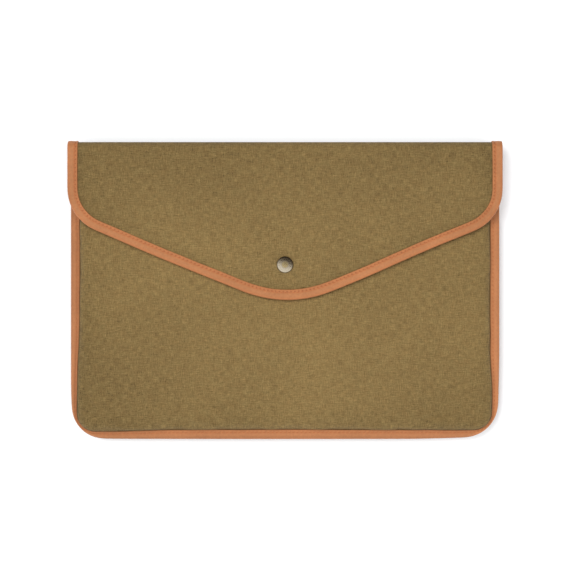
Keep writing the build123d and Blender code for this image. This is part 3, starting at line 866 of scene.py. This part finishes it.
def cloth_material(name, color, faded, thread, slubs, bump, shade, cloud=0.25, mottle=0.3):
    """Woven cotton: weave on the piece's own flat map, washed clouds, a little fuzz at grazing angles.

    It is painted darker, as shade, right beside the leather and where it rolls down to it, along the flap's
    edge (the edge's painted shadow, with a line rubbed by the edge), towards the fold where it curves over,
    and a little towards the bottom and the two sides, where it rolls away from the light.
    """
    made, tree, shader = new_look(name)
    place = node(tree, "ShaderNodeUVMap", uv_map="cloth").outputs["UV"]
    weave = node(
        tree, "ShaderNodeGroup", {"Position": place, "Thread": thread, "Slubs": slubs}, node_tree=plain_weave
    )
    clouds, mottled = worn_by(tree, place, 0.12)
    amount = maths(tree, "MULTIPLY", weave.outputs["Shade"], shade)
    amount = maths(tree, "MULTIPLY_ADD", clouds, cloud, amount)
    amount = maths(tree, "MULTIPLY_ADD", mottled, mottle, amount)
    seam = node(tree, "ShaderNodeAttribute", attribute_name="seam").outputs["Fac"]
    edge_shadow_and_rub = node(tree, "ShaderNodeAttribute", attribute_name="edge_shadow_and_rub").outputs["Fac"]
    where = node(tree, "ShaderNodeSeparateXYZ", {0: place})
    across, run = where.outputs[0], where.outputs[1]
    # Painted shade: a thin dark line on the canvas right beside the leather, where the seam's corner is in
    # shade.
    painted_shade_and_rub = remap(tree, seam, 0.2 * MM, 1.5 * MM, 0.16, 0.0)
    # Each row adds painted shade: beside the seam where the panel rolls down, the flap edge's painted shadow
    # with a line rubbed by the edge, towards the fold where the cloth curves over, and towards the bottom
    # and the two sides where the panel rolls away from the light.
    for along, start, end, dark_start, dark_end in (
        (seam, 0.0, 17 * MM, 0.085, 0.0),
        (edge_shadow_and_rub, 0.3 * MM, 2.4 * MM, 0.3, 0.0),
        (run, fold_start - 85 * MM, fold_start, 0.0, 0.15),
        (run, bottom_y, 0.0, 0.075, 0.0),
        (across, -165 * MM, -10 * MM, 0.09, 0.0),
        (across, 20 * MM, 165 * MM, 0.0, 0.05),
    ):
        painted_shade_and_rub = maths(tree, "ADD", painted_shade_and_rub, remap(tree, along, start, end, dark_start, dark_end))
    amount = maths(tree, "SUBTRACT", amount, painted_shade_and_rub)
    fade = remap(tree, mottled, -0.25, 0.25)
    dye = mixed(tree, fade, color, faded)
    tree.links.new(tinted(tree, dye, amount), shader.inputs["Base Color"])
    embossed(tree, shader, weave.outputs["Height"], 1.0, bump)
    shader.inputs["Roughness"].default_value = 0.92
    shader.inputs["Specular IOR Level"].default_value = 0.12
    shader.inputs["Sheen Weight"].default_value = 0.05
    shader.inputs["Sheen Roughness"].default_value = 0.6
    return made


def leather_material(name, color, painted_highlight, prick, edge=0.0, outer=0.0, painted_light_right=0.0):
    """Smooth tanned leather: pores, burnished edges, and pricked holes in the line of the stitches.

    It is painted lighter where it swells, between the stitches and the outer edge: a painted highlight on
    the strip's rounded face. prick is how much of the holes shows; edge and outer say how much darker its
    inner and outer edges are; painted_light_right says how much lighter the leather is painted at the
    object's right side, as painted light where more light falls.
    """
    made, tree, shader = new_look(name)
    place = node(tree, "ShaderNodeTexCoord").outputs["Object"]
    clouds, mottled = worn_by(tree, place, 0.035)
    cells = node(tree, "ShaderNodeTexVoronoi", {"Vector": place, "Scale": 1500.0}, feature="F1")
    pores = cells.outputs["Distance"]
    crease = noise(tree, place, 420.0, 4.0, 0.65)
    amount = maths(tree, "MULTIPLY", clouds, 0.35)
    amount = maths(tree, "MULTIPLY_ADD", mottled, 0.35, amount)
    amount = maths(tree, "MULTIPLY_ADD", maths(tree, "SUBTRACT", crease, 0.5), 0.35, amount)
    side = node(tree, "ShaderNodeSeparateXYZ", {0: place}).outputs[0]
    # Painted light: the leather is made lighter at the object's right side, where more light falls.
    amount = maths(tree, "ADD", amount, remap(tree, side, 147 * MM, 157 * MM, 0.0, painted_light_right))
    flat = node(tree, "ShaderNodeUVMap", uv_map="cloth").outputs["UV"]
    split = node(tree, "ShaderNodeSeparateXYZ", {0: flat})
    from_edge = split.outputs[1]
    cell = maths(tree, "FRACT", maths(tree, "DIVIDE", split.outputs[0], pitch))
    off = maths(tree, "SUBTRACT", maths(tree, "MULTIPLY", cell, pitch), pitch / 2)
    off = maths(tree, "SUBTRACT", maths(tree, "ABSOLUTE", off), pitch / 2)
    across = maths(tree, "SUBTRACT", from_edge, row_in)
    squares = [maths(tree, "MULTIPLY", part, part) for part in (off, across)]
    away = maths(tree, "SQRT", maths(tree, "ADD", *squares))
    hole = remap(tree, away, 0.3 * MM, 1.0 * MM, prick, 0.0)
    line = remap(tree, maths(tree, "ABSOLUTE", across), 0.2 * MM, 0.9 * MM, 0.03, 0.0)
    near = remap(tree, from_edge, 0.0, 1.1 * MM, edge, 0.0)
    far = remap(tree, from_edge, row_in + 2.4 * MM, row_in + 4.2 * MM, 0.0, outer)
    burnish = maths(tree, "ADD", near, far)
    amount = maths(tree, "SUBTRACT", amount, maths(tree, "ADD", line, burnish))
    # Painted highlight: the colour turns lighter where the strip swells, between the stitches and the outer
    # edge.
    swell = maths(tree, "ABSOLUTE", maths(tree, "SUBTRACT", from_edge, row_in + 3.0 * MM))
    highlit_leather = mixed(tree, remap(tree, swell, 0.3 * MM, 2.6 * MM, 1.0, 0.0), color, painted_highlight)
    pricked = mixed(tree, hole, highlit_leather, (0.20, 0.035, 0.006, 1))
    tree.links.new(tinted(tree, pricked, amount), shader.inputs["Base Color"])
    height = maths(tree, "MULTIPLY_ADD", crease, 0.7, maths(tree, "MULTIPLY", pores, 0.5))
    height = maths(tree, "SUBTRACT", height, maths(tree, "MULTIPLY", hole, 1.2))
    embossed(tree, shader, height, 0.5, 0.25 * MM)
    rough = maths(tree, "MULTIPLY_ADD", mottled, 0.3, 0.55)
    tree.links.new(rough, shader.inputs["Roughness"])
    shader.inputs["Specular IOR Level"].default_value = 0.35
    return made


def thread_material(name, color):
    """Waxed thread: fine slanted twist."""
    made, tree, shader = new_look(name)
    place = node(tree, "ShaderNodeTexCoord").outputs["Object"]
    twist = node(
        tree, "ShaderNodeTexWave", {"Vector": place, "Scale": 900.0, "Distortion": 1.0, "Detail": 1.0},
        bands_direction="DIAGONAL",
    ).outputs["Fac"]
    amount = maths(tree, "MULTIPLY", maths(tree, "SUBTRACT", twist, 0.5), 0.4)
    tree.links.new(tinted(tree, color, amount), shader.inputs["Base Color"])
    embossed(tree, shader, twist, 0.6, 0.05 * MM)
    shader.inputs["Roughness"].default_value = 0.6
    return made


def metal_material(name, color, tarnish, rough, cap=False):
    """Old plated metal: tarnish in clouds, fine scratches, duller where it is dark.

    On the cap the plating is worn down to the brass in the middle; its outer edge is painted darker, as
    painted shade where the cap meets the flap, and the side away from the flap's edge is painted dark
    brown, as a painted reflection of the darker sky on that side.
    """
    made, tree, shader = new_look(name)
    place = node(tree, "ShaderNodeTexCoord").outputs["Object"]
    clouds, mottled = worn_by(tree, place, 0.004)
    amount = maths(tree, "MULTIPLY", clouds, tarnish)
    amount = maths(tree, "MULTIPLY_ADD", mottled, tarnish, amount)
    if cap:
        flat = node(tree, "ShaderNodeUVMap", uv_map="cloth").outputs["UV"]
        out = node(tree, "ShaderNodeVectorMath", {0: flat}, operation="LENGTH").outputs["Value"]
        share = maths(tree, "DIVIDE", out, cap_radius)
        worn_through = remap(tree, share, 0.30, 0.46, 1.0, 0.0)
        upward = node(tree, "ShaderNodeVectorMath", {0: flat, 1: (0.35, 0.94, 0)}, operation="DOT_PRODUCT")
        upward = maths(tree, "DIVIDE", upward.outputs["Value"], cap_radius)
        # Painted reflection: the side of the cap towards the darker sky is painted dark brown.
        painted_dark_reflection = remap(tree, upward, -0.45, 0.65, 0.0, 0.85)
        color = mixed(tree, painted_dark_reflection, color + (1,), (0.215, 0.155, 0.09, 1))
        color = mixed(tree, worn_through, color, (0.44, 0.34, 0.175, 1))
        # Painted shade: darker towards the cap's outer edge, where it meets the flap.
        painted_rim_shade = remap(tree, share, 0.86, 1.0, 0.0, 0.6)
        amount = maths(tree, "SUBTRACT", amount, painted_rim_shade)
    tree.links.new(tinted(tree, color, amount), shader.inputs["Base Color"])
    scratch = noise(tree, stretched(tree, place, (4000.0, 400.0, 400.0)), 1.0, 2.0, 0.5)
    embossed(tree, shader, scratch, 0.08, 0.03 * MM)
    dull = maths(tree, "MULTIPLY_ADD", mottled, 0.3, rough)
    tree.links.new(dull, shader.inputs["Roughness"])
    shader.inputs["Metallic"].default_value = 1.0
    return made


canvas_look = cloth_material(
    "washed_canvas", (0.234, 0.1505, 0.0545, 1), (0.244, 0.167, 0.0625, 1), 0.62 * MM, 1.0, 0.16 * MM,
    shade=1.08, cloud=0.42, mottle=0.20,
)
lining_look = cloth_material(
    "cotton_lining", (0.40, 0.31, 0.18, 1), (0.43, 0.34, 0.21, 1), 0.34 * MM, 0.5, 0.06 * MM, shade=0.25
)
# The second colour of each leather is its painted highlight, where the strip swells.
flap_leather_look = leather_material(
    "tan_leather", (0.400, 0.150, 0.0550, 1), (0.394, 0.163, 0.066, 1), prick=0.48
)
body_leather_look = leather_material(
    "tan_leather_worn", (0.400, 0.154, 0.0585, 1), (0.403, 0.163, 0.066, 1), prick=0.15, edge=0.05,
    outer=0.15, painted_light_right=0.17,
)
thread_look = thread_material("tan_thread", (0.37, 0.10, 0.026))
cap_look = metal_material("antique_plate", (0.50, 0.435, 0.325), 0.25, 0.24, cap=True)
snap_look = metal_material("dull_plate", (0.34, 0.29, 0.22), 0.8, 0.36)
spring_look = metal_material("spring_steel", (0.5, 0.5, 0.5), 0.3, 0.3)


def wears(piece, look):
    """Puts one material on a piece."""
    piece.data.materials.clear()
    piece.data.materials.append(look)


canvases = (front, back, flap)
linings = (front_lining, back_lining, flap_lining)
threads = (body_stitches, flap_stitches, mouth_stitches)
for piece in canvases:
    wears(piece, canvas_look)
for piece in linings:
    wears(piece, lining_look)
for piece in (flap_leather, mouth_leather):
    wears(piece, flap_leather_look)
wears(body_leather, body_leather_look)
for piece in threads:
    wears(piece, thread_look)
wears(cap, cap_look)
for name in ("snap_stud", "stud_eyelet", "snap_socket"):
    wears(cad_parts[name], snap_look)
wears(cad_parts["snap_spring"], spring_look)

# ---- Which body each piece moves with ----

for piece in (front, front_lining, mouth_leather, mouth_stitches, body_stitches):
    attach(piece, "sleeve")
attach(cap, "flap")
for piece in (back, body_leather):
    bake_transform(piece)
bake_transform(back_lining)
for piece in (flap, flap_lining, flap_leather, flap_stitches):
    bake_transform(piece)

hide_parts("front_canvas", "front_foam", "stud_backing")
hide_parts("front_lining")
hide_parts("back_canvas", "back_foam", "spine_canvas")
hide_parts("back_lining", "spine_lining", "spine_interlining")
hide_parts("flap_canvas", "flap_interlining", "cap_backing")
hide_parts("flap_lining")
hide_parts("body_binding")
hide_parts("flap_binding", "spine_binding")
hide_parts("mouth_binding")
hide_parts("body_thread")
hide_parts("flap_thread")
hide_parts("mouth_thread")
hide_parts("snap_cap")


flap_cut = flap_outline(spine_end_s)

# ---- Floor, light and camera ----

bpy.ops.mesh.primitive_plane_add(size=6.0, location=(0, 0, 0))
floor = bpy.context.object
floor.name = "floor"
floor_look, _, floor_shader = new_look("pale_floor")
floor_shader.inputs["Base Color"].default_value = (0.836, 0.858, 0.878, 1)
floor_shader.inputs["Roughness"].default_value = 0.9
floor_shader.inputs["Specular IOR Level"].default_value = 0.0
floor_shader.inputs["Emission Color"].default_value = (1, 1, 1, 1)
floor_shader.inputs["Emission Strength"].default_value = 0.147
wears(floor, floor_look)

world = bpy.data.worlds.new("studio")
world.use_nodes = True
sky = world.node_tree
way = node(sky, "ShaderNodeSeparateXYZ", {0: node(sky, "ShaderNodeTexCoord").outputs["Generated"]})
side = maths(sky, "MULTIPLY_ADD", way.outputs[0], -0.35, maths(sky, "MULTIPLY", way.outputs[1], -0.95))
glow = remap(sky, side, -0.85, 0.55, 0.12, 1.16)
sky.links.new(glow, sky.nodes["Background"].inputs["Strength"])
sky.nodes["Background"].inputs["Color"].default_value = (1, 1, 1, 1)
bpy.context.scene.world = world

for label, energy, wide, turn in (("window", 1.62, 28, (-18, -21, 0)), ("far_wall", 0.74, 30, (0, 42, 0))):
    sun_data = bpy.data.lights.new(label, "SUN")
    sun_data.energy = energy
    sun_data.angle = math.radians(wide)
    sun = bpy.data.objects.new(label, sun_data)
    sun.rotation_euler = [math.radians(t) for t in turn]
    sun.visible_glossy = False
    bpy.context.scene.collection.objects.link(sun)

camera_height = 1.52
view_height = 0.02  # where the picture is view_wide wide
view_wide = 0.4519
camera_data = bpy.data.cameras.new("camera")
camera = bpy.data.objects.new("camera", camera_data)
camera.location = (0, 4.6 * MM, camera_height)
camera_data.sensor_width = 36
camera_data.lens = 36 * (camera_height - view_height) / view_wide
camera_data.clip_end = 20
bpy.context.scene.collection.objects.link(camera)
bpy.context.scene.camera = camera
bpy.context.scene.view_settings.view_transform = "Standard"
